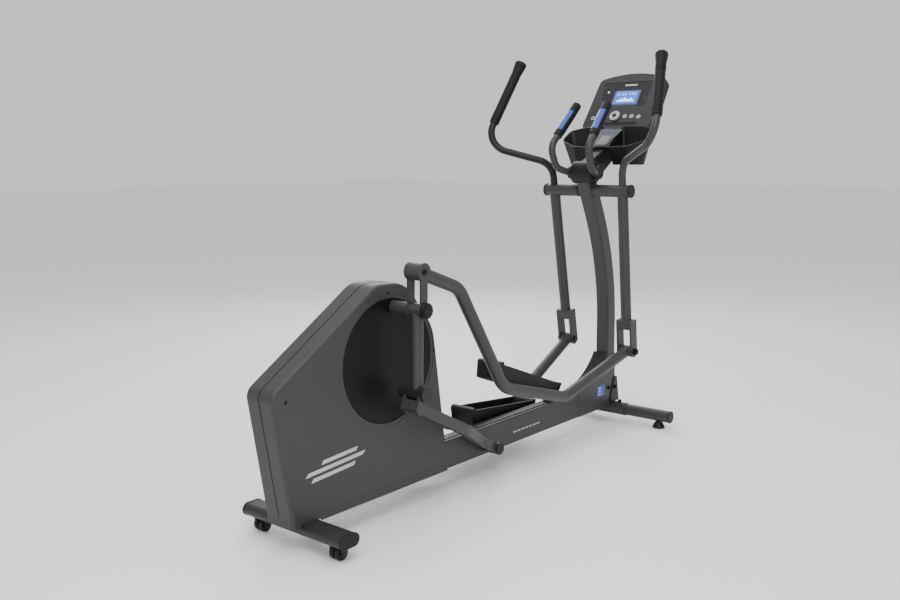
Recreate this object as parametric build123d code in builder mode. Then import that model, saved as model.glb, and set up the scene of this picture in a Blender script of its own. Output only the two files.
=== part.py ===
"""Rear-drive elliptical trainer as separate pieces, in millimetres, +Z up, +X towards the console, +Y left.

Stations are distances forward of the rear stabiliser's axis. MID moves them so that the
origin lies on the floor under the middle of the machine. A side view is drawn as
(station, height), and the right-hand parts of the linkage lie at negative Y.
"""

from build123d import *
import os
from math import atan2, cos, degrees, hypot, radians, sin, sqrt

os.makedirs("parts", exist_ok=True)

# ---- driving dimensions ----
MID = 951.0
LEFT, RIGHT = 1, -1
SIDES = {"right": RIGHT, "left": LEFT}
FIT = 0.05  # radial play of a shaft in its bore

# pivots of the linkage in the side view
CRANK = (344.0, 520.0)
CRANK_RADIUS = 175.3
CRANK_REST = 83.0  # angle of the right crank above +X; the left one is opposite
GROUND_PIVOT = (887.0, 102.0)
ARM_PIVOT = (1623.0, 1021.0)
COUPLER_LOWER, COUPLER_UPPER = 267.0, 120.0
ROCKER_LENGTH = 618.0
LEVER_LENGTH = 1401.5
ARM_LENGTH = 676.0
LINK_Y = 165.0  # middle plane of the links on each side

RAIL_BOTTOM, RAIL_TOP, RAIL_HALF, RAIL_END = 70.0, 172.0, 30.0, 1527.0
REAR_Z, REAR_DEEP, REAR_HIGH, REAR_HALF = 66.5, 78.0, 40.0, 216.0
WHEEL_R, WHEEL_Y, WHEEL_AXLE_R = 22.0, 173.0, 5.0
FRONT_X, FRONT_Z, FRONT_R, FRONT_HALF = 1818.0, 54.0, 25.0, 306.0
FOOT_Y, FOOT_R, STUD_R = 255.0, 26.0, 5.0
BASE_HALF, BASE_TOP = 33.0, 300.0
MAST_X, MAST_HALF, MAST_DEEP, MAST_BEND_R = 1790.0, 30.0, 66.0, 1100.0
AXLE_R, AXLE_END = 17.0, 200.0
ROCKER_SHAFT_R, ROCKER_PIVOT_R = 15.0, 22.0
HALF, SKIN, SKIRT_TOP, SKIRT_BOTTOM = 61.0, 4.5, 107.0, 80.0
DISC_R, DISC_IN, DISC_OUT = 201.0, 52.0, 60.0
FLYWHEEL = (70.0, 330.0)
FLYWHEEL_R, FLYWHEEL_AXLE_R = 112.0, 8.5
PULLEY_R, SMALL_PULLEY_R, SHAFT_R = 150.0, 25.0, 15.0
LINK_TUBE_R = 22.0


def save(piece, name):
    """Labels a finished piece and writes it as a node of its own."""
    piece.label = name
    export_step(piece, f"parts/{name}.step")


def at(station, y, z):
    """Point of the model at this station, y and height."""
    return Vector(station - MID, y, z)


def side(y=0.0):
    """Upright plane at this y, drawn in stations and heights."""
    return Plane(origin=(-MID, y, 0), x_dir=(1, 0, 0), z_dir=(0, -1, 0))


def level(z):
    """Flat plane at this height, drawn in stations and y."""
    return Plane(origin=(-MID, 0, z))


def turned(pivot, angle):
    """Side plane with its origin at a pivot and its x at this angle above +X."""
    lean = radians(angle)
    return Plane(origin=at(pivot[0], 0, pivot[1]), x_dir=(cos(lean), 0, sin(lean)), z_dir=(0, -1, 0))


def on(plane, along, up, y):
    """Point at these distances along and across a turned side plane, moved to this y."""
    return plane.from_local_coords(Vector(along, up, 0)) + Vector(0, y, 0)


def round_bar(centre, y, radius, width, mode=Mode.ADD):
    """Round bar along Y, given its centre in the side view, middle y and width."""
    with BuildSketch(side(y)) as face:
        with Locations(centre):
            Circle(radius)
    extrude(face.sketch, amount=width / 2, both=True, mode=mode)


def plate(corners, rounding, y, width, mode=Mode.ADD):
    """Flat plate drawn in the side view, with its middle at y and rounded corners."""
    with BuildSketch(side(y)) as face:
        with BuildLine():
            FilletPolyline(*corners, radius=rounding, close=True)
        make_face()
    extrude(face.sketch, amount=width / 2, both=True, mode=mode)


def link_plate(start, end, radius, y, width, mode=Mode.ADD):
    """Bar with round ends between two points of the side view."""
    lean = degrees(atan2(end[1] - start[1], end[0] - start[0]))
    run = hypot(end[0] - start[0], end[1] - start[1])
    with BuildSketch(side(y)) as face:
        with Locations(Location(((start[0] + end[0]) / 2, (start[1] + end[1]) / 2, 0), (0, 0, lean))):
            SlotCenterToCenter(run, 2 * radius)
    extrude(face.sketch, amount=width / 2, both=True, mode=mode)


def box(low, high, mode=Mode.ADD):
    """Block between two corners, given as (station, y, height)."""
    with BuildSketch(level(low[2])) as face:
        with Locations(((low[0] + high[0]) / 2, (low[1] + high[1]) / 2)):
            Rectangle(high[0] - low[0], high[1] - low[1])
    extrude(face.sketch, amount=high[2] - low[2], mode=mode)


def rod(start, end, radius, mode=Mode.ADD):
    """Straight round bar between two points of the model."""
    with BuildSketch(Plane(origin=start, z_dir=end - start)) as face:
        Circle(radius)
    extrude(face.sketch, amount=(end - start).length, mode=mode)


def tube(points, bend, radius, wall=0.0, mode=Mode.ADD):
    """Round tube bent through these points; without a wall it is a solid bar."""
    with BuildLine() as run:
        FilletPolyline(*points, radius=bend)
    with BuildSketch(Plane(origin=run.line @ 0, z_dir=run.line % 0)) as section:
        Circle(radius)
        if wall:
            Circle(radius - wall, mode=Mode.SUBTRACT)
    sweep(section.sketch, path=run.line, mode=mode)


def meet(a, reach_a, b, reach_b, turn):
    """Point at these distances from a and b, left of the line from a to b when turn is +1."""
    base = hypot(b[0] - a[0], b[1] - a[1])
    along = (reach_a**2 - reach_b**2 + base**2) / (2 * base)
    off = turn * sqrt(reach_a**2 - along**2)
    ux, uz = (b[0] - a[0]) / base, (b[1] - a[1]) / base
    return (a[0] + along * ux - off * uz, a[1] + along * uz + off * ux)


def linkage(hand):
    """Crank pin, lower and upper coupler pivots and arm eye of one side at rest."""
    angle = radians(CRANK_REST + (0 if hand == RIGHT else 180))
    pin = (CRANK[0] + CRANK_RADIUS * cos(angle), CRANK[1] + CRANK_RADIUS * sin(angle))
    low = meet(pin, COUPLER_LOWER, GROUND_PIVOT, ROCKER_LENGTH, -1)
    rise = COUPLER_UPPER / COUPLER_LOWER
    top = (pin[0] + (pin[0] - low[0]) * rise, pin[1] + (pin[1] - low[1]) * rise)
    eye = meet(ARM_PIVOT, ARM_LENGTH, top, LEVER_LENGTH, 1)
    return pin, low, top, eye


def angle_of(start, end):
    """Angle above +X of the line between two points of the side view."""
    return degrees(atan2(end[1] - start[1], end[0] - start[0]))


# ---- rail and stabilisers ----
COPE = REAR_Z + REAR_HIGH / 2  # the rail's rear end is cut to sit on the stabiliser
REAR_EDGE = REAR_DEEP / 2
with BuildPart() as main_rail:
    box((REAR_EDGE, -RAIL_HALF, RAIL_BOTTOM), (RAIL_END, RAIL_HALF, RAIL_TOP))
    box((-REAR_EDGE, -RAIL_HALF, COPE), (REAR_EDGE, RAIL_HALF, RAIL_TOP))
    fillet(main_rail.edges().filter_by(Axis.X).group_by(Axis.Z)[-1], 5)
    box((-REAR_EDGE, 3 - RAIL_HALF, COPE + 3), (RAIL_END, RAIL_HALF - 3, RAIL_TOP - 3), mode=Mode.SUBTRACT)
    box((REAR_EDGE + 3, 3 - RAIL_HALF, RAIL_BOTTOM + 3), (RAIL_END, RAIL_HALF - 3, COPE + 4), mode=Mode.SUBTRACT)
    round_bar(GROUND_PIVOT, 0, ROCKER_SHAFT_R, 190)
save(main_rail.part, "main_rail")

with BuildPart() as rail_cover:
    box((652, -17, RAIL_TOP), (1488, 17, RAIL_TOP + 3))
    fillet(rail_cover.faces().sort_by(Axis.Z)[-1].edges(), 1.5)
    with BuildSketch(level(RAIL_TOP + 2.5)):
        with Locations((1350, 0)):
            RectangleRounded(58, 30, 7)
    extrude(amount=12, taper=8)
save(rail_cover.part, "rail_cover")

with BuildPart() as rear_stabiliser:
    with BuildSketch(Plane.XZ) as oval:
        with Locations((-MID, REAR_Z)):
            SlotOverall(REAR_DEEP, REAR_HIGH)
            SlotOverall(REAR_DEEP - 5, REAR_HIGH - 5, mode=Mode.SUBTRACT)
    extrude(amount=REAR_HALF, both=True)
    for hand in (RIGHT, LEFT):
        for ear in (-24, 24):
            plate([(-14, 49), (14, 49), (9, 14), (-9, 14)], 6, hand * WHEEL_Y + ear, 4)
        round_bar((0, WHEEL_R), hand * WHEEL_Y, WHEEL_AXLE_R, 56)
save(rear_stabiliser.part, "rear_stabiliser")

for word, hand in SIDES.items():
    with BuildPart() as wheel:
        for half in (-11, 11):
            round_bar((0, WHEEL_R), hand * WHEEL_Y + half, WHEEL_R, 17)
        fillet(wheel.edges().filter_by(GeomType.CIRCLE), 4)
        round_bar((0, WHEEL_R), hand * WHEEL_Y, 13, 41)
        round_bar((0, WHEEL_R), hand * WHEEL_Y, WHEEL_AXLE_R + FIT, 60, mode=Mode.SUBTRACT)
    save(wheel.part, f"{word}_transport_wheel")

with BuildPart() as front_stabiliser:
    round_bar((FRONT_X, FRONT_Z), 0, FRONT_R, 2 * FRONT_HALF)
    round_bar((FRONT_X, FRONT_Z), 0, FRONT_R - 3, 2 * FRONT_HALF, mode=Mode.SUBTRACT)
    for hand in (RIGHT, LEFT):
        rod(at(FRONT_X, hand * FOOT_Y, 0), at(FRONT_X, hand * FOOT_Y, FRONT_Z), STUD_R + FIT, mode=Mode.SUBTRACT)
save(front_stabiliser.part, "front_stabiliser")

for word, hand in SIDES.items():
    with BuildPart() as foot:
        with BuildSketch(level(0)):
            with Locations((FRONT_X, hand * FOOT_Y)):
                Circle(FOOT_R)
        extrude(amount=7)
        with BuildSketch(level(7)):
            with Locations((FRONT_X, hand * FOOT_Y)):
                Circle(FOOT_R)
        extrude(amount=20, taper=30)
        fillet(foot.edges().group_by(Axis.Z)[0], 1.5)
        rod(at(FRONT_X, hand * FOOT_Y, 26), at(FRONT_X, hand * FOOT_Y, 48), STUD_R)
    save(foot.part, f"{word}_levelling_foot")

with BuildPart() as end_caps:
    for hand in (RIGHT, LEFT):
        with BuildSketch(Plane.XZ.offset(-hand * (REAR_HALF + 3))):
            with Locations((-MID, REAR_Z)):
                SlotOverall(REAR_DEEP + 3, REAR_HIGH + 3)
        extrude(amount=3, both=True)
        round_bar((FRONT_X, FRONT_Z), hand * (FRONT_HALF + 3), FRONT_R + 1.5, 6)
    fillet(end_caps.edges(), 1.3)
save(end_caps.part, "stabiliser_end_caps")

# ---- front base and mast ----
with BuildPart() as front_base:
    with BuildSketch(side()):
        with BuildLine():
            Polyline((RAIL_END, RAIL_BOTTOM), (1780, RAIL_BOTTOM), (1796, 79.5), (1823, 79.5), (1823, BASE_TOP), (1757, BASE_TOP))
            ThreePointArc((1757, BASE_TOP), (1655, 214), (RAIL_END, RAIL_TOP + 2))
            Line((RAIL_END, RAIL_TOP + 2), (RAIL_END, RAIL_BOTTOM))
        make_face()
    extrude(amount=BASE_HALF, both=True)
    fillet(front_base.edges().filter_by(Axis.Z), 5)
    with BuildSketch(side()):
        with BuildLine():
            Polyline((RAIL_END, 76), (1778, 76), (1794, 88), (1817, 88), (1817, 292), (1764, 292), (1655, 206), (RAIL_END, 166), close=True)
        make_face()
    extrude(amount=BASE_HALF - 4, both=True, mode=Mode.SUBTRACT)
    round_bar((FRONT_X, FRONT_Z), 0, FRONT_R + 3, 190)
    round_bar((FRONT_X, FRONT_Z), 0, FRONT_R, 190, mode=Mode.SUBTRACT)
    for hand in (RIGHT, LEFT):
        rod(at(FRONT_X, hand * 62, FRONT_Z + FRONT_R + 1.5), at(FRONT_X, hand * 62, 100), 8, mode=Mode.SUBTRACT)
save(front_base.part, "front_base")

with BuildPart() as front_bracket:
    for hand in (RIGHT, LEFT):
        plate([(1772, 83), (1852, 83), (1848, 98), (1830, 196), (1812, 196)], 5, hand * (BASE_HALF + 2.5), 5)
save(front_bracket.part, "front_brackets")

MAST_CORNER = 440 + MAST_BEND_R * sin(radians(13)) / cos(radians(13))
MAST_TOP = (1607.6, 1067.9)
with BuildPart() as mast:
    with BuildLine() as mast_line:
        FilletPolyline(
            at(MAST_X, 0, BASE_TOP), at(MAST_X, 0, MAST_CORNER), at(MAST_TOP[0], 0, MAST_TOP[1]),
            radius=MAST_BEND_R,
        )
    with BuildSketch(level(BASE_TOP)) as mast_section:
        with Locations((MAST_X, 0)):
            RectangleRounded(MAST_DEEP, 2 * MAST_HALF, 9)
            RectangleRounded(MAST_DEEP - 6, 2 * MAST_HALF - 6, 6, mode=Mode.SUBTRACT)
    sweep(mast_section.sketch, path=mast_line.line)
    round_bar(ARM_PIVOT, 0, AXLE_R, 2 * AXLE_END)
    for hand in (RIGHT, LEFT):
        round_bar(ARM_PIVOT, hand * 33.5, 22, 7)
save(mast.part, "mast")

with BuildPart() as mast_shroud:
    with BuildSketch(side()):
        with BuildLine():
            ThreePointArc((1490, 180), (1650, 221), (1750, 312))
            Line((1750, 312), (1756.6, 300.5))
            ThreePointArc((1756.6, 300.5), (1654.7, 214.5), (RAIL_END, 174.5))
            Polyline((RAIL_END, 174.5), (1490, 174.5), (1490, 180))
        make_face()
    extrude(amount=BASE_HALF + 1, both=True)
    fillet(mast_shroud.edges().filter_by(Axis.Y), 1)
save(mast_shroud.part, "mast_shroud")

# ---- housing ----
OUTLINE = [(-68.7, 60), (-140, 498), (290, 771), (430, 768), (566, 600), (643, 60)]
OUTLINE_ROUNDS = [40, 90, 130, 150]
SCREWS = [(-87, 471), (342, 740), (562, 522)]


def housing_block(inset, near, far, mode=Mode.ADD):
    """Solid with the housing's side view moved inwards by inset, between two values of y."""
    with BuildSketch(side(near)) as view:
        with BuildLine():
            FilletPolyline(*OUTLINE, radius=OUTLINE_ROUNDS)
            Line(OUTLINE[0], OUTLINE[-1])
        make_face()
        if inset:
            offset(amount=-inset, kind=Kind.INTERSECTION)
    extrude(view.sketch, amount=near - far, mode=mode)


def open_below(height):
    """Cuts away everything under this height."""
    box((-300, -90, 0), (800, 90, height), mode=Mode.SUBTRACT)


for word, hand in SIDES.items():
    with BuildPart() as shell:
        housing_block(0, 0, hand * HALF)
        outer = shell.faces().sort_by(Axis.Y)[-1 if hand == LEFT else 0]
        fillet(outer.edges(), 12)
        housing_block(SKIN, 0, hand * (HALF - SKIN), mode=Mode.SUBTRACT)
        open_below(SKIRT_TOP + 0.5)
        round_bar(CRANK, hand * HALF, DISC_R + 15, 2.4, mode=Mode.SUBTRACT)
        round_bar(CRANK, hand * HALF, DISC_R + 2, 20, mode=Mode.SUBTRACT)
        box((500, -RAIL_HALF - 1, 60), (700, RAIL_HALF + 1, RAIL_TOP + 1), mode=Mode.SUBTRACT)
        for spot in SCREWS:
            round_bar(spot, hand * HALF, 6, 20, mode=Mode.SUBTRACT)
    save(shell.part, f"{word}_housing_shell")

with BuildPart() as skirt:
    housing_block(0, HALF, -HALF)
    fillet(skirt.faces().sort_by(Axis.Y)[-1].edges() + skirt.faces().sort_by(Axis.Y)[0].edges(), 12)
    housing_block(SKIN, HALF - SKIN, SKIN - HALF, mode=Mode.SUBTRACT)
    open_below(SKIRT_BOTTOM)
    box((-300, -90, SKIRT_TOP), (800, 90, 900), mode=Mode.SUBTRACT)
    box((-REAR_EDGE - 1, -90, 60), (REAR_EDGE + 1, 90, COPE + 0.5), mode=Mode.SUBTRACT)
    box((500, -RAIL_HALF - 1, 60), (700, RAIL_HALF + 1, RAIL_TOP), mode=Mode.SUBTRACT)
save(skirt.part, "housing_skirt")

with BuildPart() as fasteners:
    for hand in (RIGHT, LEFT):
        for spot in SCREWS:
            round_bar(spot, hand * 57.5, 5.9, 5)
            round_bar(spot, hand * 60, 3, 2, mode=Mode.SUBTRACT)
        for spot, proud in (((1768, 152), 2), ((1812, 150), 7)):
            round_bar(spot, hand * (BASE_HALF + proud), 8.5, 4)
        rod(at(FRONT_X, hand * 62, FRONT_Z + FRONT_R + 1.5), at(FRONT_X, hand * 62, FRONT_Z + 34), 8)
        rod(at(252, hand * 40, 76), at(252, hand * 40, 84), 6)
        rod(at(596, hand * 40, 76), at(596, hand * 40, 84), 6)
save(fasteners.part, "housing_and_frame_screws")

# ---- drive inside the housing ----
FRAME_IN, FRAME_OUT = 46.0, 50.0
BEARING_R, BEARING_IN, BEARING_OUT = 31.0, 42.0, 51.0
with BuildPart() as drive_frame:
    box((-20, -FRAME_OUT, RAIL_TOP), (520, FRAME_OUT, RAIL_TOP + 6))
    for hand in (RIGHT, LEFT):
        middle = hand * (FRAME_IN + FRAME_OUT) / 2
        plate([(-20, 173), (520, 173), (430, 540), (386, 580), (300, 580), (10, 400)], 24, middle, 4)
        plate([(190, 215), (430, 215), (360, 430), (300, 430)], 20, middle, 6, mode=Mode.SUBTRACT)
        round_bar(CRANK, hand * 46.5, BEARING_R + 7, 9)
        round_bar(CRANK, hand * 46.5, BEARING_R, 12, mode=Mode.SUBTRACT)
    round_bar(FLYWHEEL, 0, FLYWHEEL_AXLE_R, 2 * FRAME_OUT)
save(drive_frame.part, "drive_frame")

with BuildPart() as bearings:
    for hand in (RIGHT, LEFT):
        round_bar(CRANK, hand * 46.5, BEARING_R, 9)
        round_bar(CRANK, hand * 46.5, SHAFT_R + FIT, 12, mode=Mode.SUBTRACT)
save(bearings.part, "crank_bearings")

with BuildPart() as crank_shaft:
    round_bar(CRANK, 0, SHAFT_R, 112)
    round_bar(CRANK, 0, 34, 30)
save(crank_shaft.part, "crank_shaft")

with BuildPart() as drive_pulley:
    round_bar(CRANK, 0, PULLEY_R, 24)
    for face in (-12, 12):
        round_bar(CRANK, face, PULLEY_R - 14, 14, mode=Mode.SUBTRACT)
    with BuildSketch(side()):
        with Locations(CRANK):
            with PolarLocations(92, 6):
                Circle(26)
    extrude(amount=10, both=True, mode=Mode.SUBTRACT)
    round_bar(CRANK, 0, 34, 40, mode=Mode.SUBTRACT)
save(drive_pulley.part, "drive_pulley")

for word, hand in SIDES.items():
    with BuildPart() as disc:
        round_bar(CRANK, hand * (DISC_IN + DISC_OUT) / 2, DISC_R, DISC_OUT - DISC_IN)
        rim = disc.edges().filter_by(GeomType.CIRCLE).sort_by(Axis.Y)[-1 if hand == LEFT else 0]
        fillet(rim, 2.5)
        round_bar(CRANK, hand * DISC_IN, SHAFT_R, 8, mode=Mode.SUBTRACT)
    save(disc.part, f"{word}_crank_disc")

with BuildPart() as flywheel:
    round_bar(FLYWHEEL, 29, FLYWHEEL_R, 26)
    round_bar(FLYWHEEL, 43, FLYWHEEL_R - 20, 14, mode=Mode.SUBTRACT)
    round_bar(FLYWHEEL, 14, 22, 58)
    round_bar(FLYWHEEL, 0, SMALL_PULLEY_R, 24)
    round_bar(FLYWHEEL, 0, FLYWHEEL_AXLE_R + FIT, 120, mode=Mode.SUBTRACT)
save(flywheel.part, "flywheel")


def belt_loop(grow, width, mode=Mode.ADD):
    """Solid inside a belt that runs round both pulleys, this far outside their rims."""
    with BuildSketch(side()) as loop:
        with Locations(CRANK):
            Circle(PULLEY_R + grow)
        with Locations(FLYWHEEL):
            Circle(SMALL_PULLEY_R + grow)
        make_hull()
    extrude(loop.sketch, amount=width / 2, both=True, mode=mode)


with BuildPart() as belt:
    belt_loop(3.4, 20)
    belt_loop(0.4, 30, mode=Mode.SUBTRACT)
save(belt.part, "drive_belt")

with BuildPart() as brake:
    round_bar(FLYWHEEL, 31, FLYWHEEL_R + 22, 30)
    round_bar(FLYWHEEL, 31, FLYWHEEL_R + 3, 40, mode=Mode.SUBTRACT)
    plate([(-160, 100), (400, 100), (400, 500), (70, 330), (-20, 480), (-160, 400)], 1, 31, 60, mode=Mode.SUBTRACT)
save(brake.part, "magnetic_brake")

with BuildPart() as pivot_caps:
    for hand in (RIGHT, LEFT):
        round_bar(GROUND_PIVOT, hand * 98, ROCKER_PIVOT_R, 6)
        round_bar(ARM_PIVOT, hand * (AXLE_END + 4), 27, 8)
    fillet(pivot_caps.edges(), 2)
save(pivot_caps.part, "pivot_end_caps")


# ---- linkage of each side ----
YOKE = 27.0  # middle of a yoke plate from the middle plane of the links
CLEVIS = 31.0


def build_coupler(hand):
    """Yoke plates, crank-pin barrel and lower tube; the pin ends clear of the disc."""
    pin, low, top, _ = linkage(hand)
    with BuildPart() as piece:
        for plate_y in (LINK_Y - YOKE, LINK_Y + YOKE):
            link_plate(pin, top, 15, hand * plate_y, 8)
            round_bar(top, hand * plate_y, 29, 8)
            round_bar(pin, hand * plate_y, 26, 8)
        round_bar(pin, hand * 129.25, 21, 133.5)
        upper, lower = at(pin[0], hand * LINK_Y, pin[1]), at(low[0], hand * LINK_Y, low[1])
        rod(upper, lower, 19.5)
        rod(upper + (lower - upper) * 0.12, upper + (lower - upper) * 0.88, 16.5, mode=Mode.SUBTRACT)
        round_bar(low, hand * LINK_Y, 23.5, 46.8)
        round_bar(low, hand * 155, 12 + FIT, 90, mode=Mode.SUBTRACT)
        for plate_y in (LINK_Y - YOKE, LINK_Y + YOKE):
            round_bar(top, hand * plate_y, 10, 12, mode=Mode.SUBTRACT)
    return piece.part


def build_link_pins(hand):
    """Cap over the crank pin and the two stub bolts of the yoke."""
    pin, _, top, _ = linkage(hand)
    with BuildPart() as piece:
        round_bar(pin, hand * (LINK_Y + YOKE + 11), 25.5, 14)
        fillet(piece.edges(), 2)
        for plate_y in (LINK_Y - YOKE, LINK_Y + YOKE):
            round_bar(top, hand * plate_y, 10, 7)
    return piece.part


def build_rocker(hand):
    """Rectangular tube from the lower coupler pivot to the ground pivot beside the rail."""
    _, low, _, _ = linkage(hand)
    frame = turned(GROUND_PIVOT, angle_of(GROUND_PIVOT, low))
    reach = ROCKER_LENGTH
    saddle = on(frame, reach - 8, 43, 0)
    with BuildPart() as piece:
        with BuildLine() as run:
            FilletPolyline(
                on(frame, reach + 4, 44, hand * LINK_Y), on(frame, reach - 305, 22, hand * LINK_Y),
                on(frame, 95, 6, hand * 72), on(frame, 12, 0, hand * 66),
                radius=[150, 60],
            )
        start = Plane(origin=run.line @ 0, x_dir=(0, 1, 0), z_dir=run.line % 0)
        with BuildSketch(start) as section:
            RectangleRounded(45, 36, 5)
            RectangleRounded(39, 30, 3, mode=Mode.SUBTRACT)
        sweep(section.sketch, path=run.line)
        round_bar(low, hand * 117, 23, 26)
        for cheek, width in ((135.5, 11), (194, 10)):
            link_plate(low, (saddle.X + MID, saddle.Z), 23.5, hand * cheek, width)
        plate_corners = [on(frame, reach + 14, 27, 0), on(frame, reach - 34, 27, 0), on(frame, reach - 34, 60, 0),
                         on(frame, reach + 14, 60, 0)]
        plate([(p.X + MID, p.Z) for p in plate_corners], 3, hand * 164.5, 69)
        round_bar(low, hand * 155, 12, 88)
        round_bar(low, hand * 202.5, 24.5, 8)
        round_bar(GROUND_PIVOT, hand * 62.5, ROCKER_PIVOT_R, 63)
        round_bar(GROUND_PIVOT, hand * 62.5, ROCKER_SHAFT_R + FIT, 90, mode=Mode.SUBTRACT)
    return piece.part


def lever_frame(hand):
    """Side plane at the lever's rear pivot, with x towards the swing arm's eye."""
    _, _, top, eye = linkage(hand)
    return turned(top, angle_of(top, eye))


def build_lever(hand):
    """Pedal lever: one bent tube with a barrel at each end."""
    _, _, top, eye = linkage(hand)
    frame = lever_frame(hand)
    y = hand * LINK_Y
    route = [(0, 0), (215, -3), (575, -283), (985, -258), (LEVER_LENGTH, 0)]
    with BuildPart() as piece:
        tube([on(frame, u, v, y) for u, v in route], [95, 120, 110], LINK_TUBE_R, wall=3)
        round_bar(top, y, 28, 44)
        round_bar(eye, y, 23, 52)
        round_bar(eye, y, 9 + FIT, 60, mode=Mode.SUBTRACT)
    return piece.part


PEDAL_IN, PEDAL_OUT = 38.0, 142.0


def build_pedal(hand):
    """Foot platform with a raised rim, bolted to the inner side of the lever."""
    frame = lever_frame(hand)
    floor = frame.offset(-hand * PEDAL_IN)
    with BuildPart() as piece:
        with BuildSketch(floor) as body:
            with BuildLine():
                FilletPolyline((560, -196), (575, -262), (965, -270), (985, -206), (962, -206), (950, -238),
                               (600, -236), (582, -190), radius=[12, 12, 8, 5, 14, 18, 5, 5], close=True)
            make_face()
        extrude(body.sketch, amount=-hand * (PEDAL_OUT - PEDAL_IN))
        for inner in (PEDAL_IN, PEDAL_OUT - 7):
            with BuildSketch(frame.offset(-hand * inner)) as rim:
                with BuildLine():
                    FilletPolyline((562, -200), (580, -258), (962, -266), (983, -210), radius=8, close=True)
                make_face()
            extrude(rim.sketch, amount=-hand * 7)
    return piece.part


def arm_frame(hand):
    """Side plane at the swing arm's pivot, with y up along the arm."""
    eye = linkage(hand)[3]
    return turned(ARM_PIVOT, angle_of(ARM_PIVOT, eye) + 90)


def build_arm(hand):
    """Swing arm: sleeve on the mast's axle, tube down to a two-plate clevis."""
    frame = arm_frame(hand)
    eye = linkage(hand)[3]
    y = hand * LINK_Y
    end = on(frame, 0, -ARM_LENGTH + 112, y)
    with BuildPart() as piece:
        round_bar(ARM_PIVOT, hand * 119, 25, 160)
        rod(on(frame, 0, 10, y), end, LINK_TUBE_R)
        rod(on(frame, 0, -30, y), on(frame, 0, -536, y), LINK_TUBE_R - 3, mode=Mode.SUBTRACT)
        bridge = [on(frame, a, b, 0) for a, b in ((-24, -580), (24, -580), (24, -540), (-24, -540))]
        plate([(p.X + MID, p.Z) for p in bridge], 6, y, 70)
        foot = (end.X + MID, end.Z)
        for cheek in (-CLEVIS, CLEVIS):
            link_plate(foot, eye, 24, y + cheek, 8)
            round_bar(eye, y + cheek, 9, 12, mode=Mode.SUBTRACT)
        round_bar(ARM_PIVOT, hand * 119, AXLE_R + FIT, 180, mode=Mode.SUBTRACT)
    return piece.part


def build_clevis_bolt(hand):
    """Bolt through the clevis, with a round head on the outside and a nut inside."""
    eye = linkage(hand)[3]
    with BuildPart() as piece:
        round_bar(eye, hand * LINK_Y, 9, 74)
        round_bar(eye, hand * (LINK_Y + 39), 14, 8)
        round_bar(eye, hand * (LINK_Y - 39), 13, 8)
    return piece.part


HANDLE = [(0, 20, 0), (0, 112, 0), (-158, 222, 234), (57, 527, 156)]
HANDLE_R = 15.0


def handle_points(hand):
    """Corners of the moving handlebar's centre line."""
    frame = arm_frame(hand)
    return [on(frame, a, b, hand * (LINK_Y + out)) for a, b, out in HANDLE]


def build_handle(hand):
    """Moving handlebar: a bent round tube rising from the swing arm."""
    with BuildPart() as piece:
        tube(handle_points(hand), [84, 82], HANDLE_R, wall=2.5)
        round_bar(ARM_PIVOT, hand * LINK_Y, 25, 60, mode=Mode.SUBTRACT)
    return piece.part


def build_grip(hand):
    """Rubber sleeve over the top of the moving handlebar, with a wider end."""
    corners = handle_points(hand)
    run = corners[3] - corners[2]
    start = corners[2] + run * 0.27
    neck, tip = corners[3] - run * 0.12, corners[3] + run * 0.03
    with BuildPart() as piece:
        rod(start, neck, 20.5)
        with BuildSketch(Plane(origin=neck, z_dir=run)) as narrow:
            Circle(20.5)
        with BuildSketch(Plane(origin=tip, z_dir=run)) as wide:
            Circle(27)
        loft([narrow.sketch.face(), wide.sketch.face()])
        fillet(piece.edges().filter_by(GeomType.CIRCLE).filter_by(lambda edge: edge.radius > 26), 11)
        fillet(piece.edges().filter_by(GeomType.CIRCLE).sort_by(Axis(start, run))[0], 2)
        rod(start, corners[3], HANDLE_R, mode=Mode.SUBTRACT)
    return piece.part


for word, hand in SIDES.items():
    save(build_coupler(hand), f"{word}_coupler")
    save(build_link_pins(hand), f"{word}_coupler_bolts")
    save(build_rocker(hand), f"{word}_rocker")
    save(build_lever(hand), f"{word}_pedal_lever")
    save(build_pedal(hand), f"{word}_pedal")
    save(build_arm(hand), f"{word}_swing_arm")
    save(build_clevis_bolt(hand), f"{word}_clevis_bolt")
    save(build_handle(hand), f"{word}_moving_handlebar")
    save(build_grip(hand), f"{word}_moving_grip")

# ---- neck, fixed handlebars and console ----
NECK = (1600.0, 1096.0)
with BuildPart() as neck:
    round_bar(NECK, 0, 47, 104)
    fillet(neck.edges(), 12)
    round_bar(NECK, 0, 27, 144)
    with BuildSketch(side()):
        with BuildLine():
            FilletPolyline((1600, 1141), (1700, 1185), (1826, 1275), (1880, 1244), (1940, 1328), (1954, 1318),
                           (1880, 1214), (1795, 1150), (1668, 1068), (1600, 1060),
                           radius=[5, 20, 3, 3, 4, 4, 40, 40, 20, 5], close=True)
        make_face()
    extrude(amount=25, both=True)
    fillet(neck.edges().filter_by(GeomType.LINE).filter_by(lambda edge: edge.length > 60), 7)
    add(mast.part, mode=Mode.SUBTRACT)
save(neck.part, "neck_cover")

FIXED = [(1600, 52, 1088), (1508, 84, 1116), (1476, 90, 1203), (1641, 73, 1369)]
with BuildPart() as fixed_bars:
    for hand in (RIGHT, LEFT):
        tube([at(x, hand * y, z) for x, y, z in FIXED], [52, 56], 14.5, wall=2.5)
    add(neck.part, mode=Mode.SUBTRACT)
save(fixed_bars.part, "fixed_handlebars")

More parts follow.
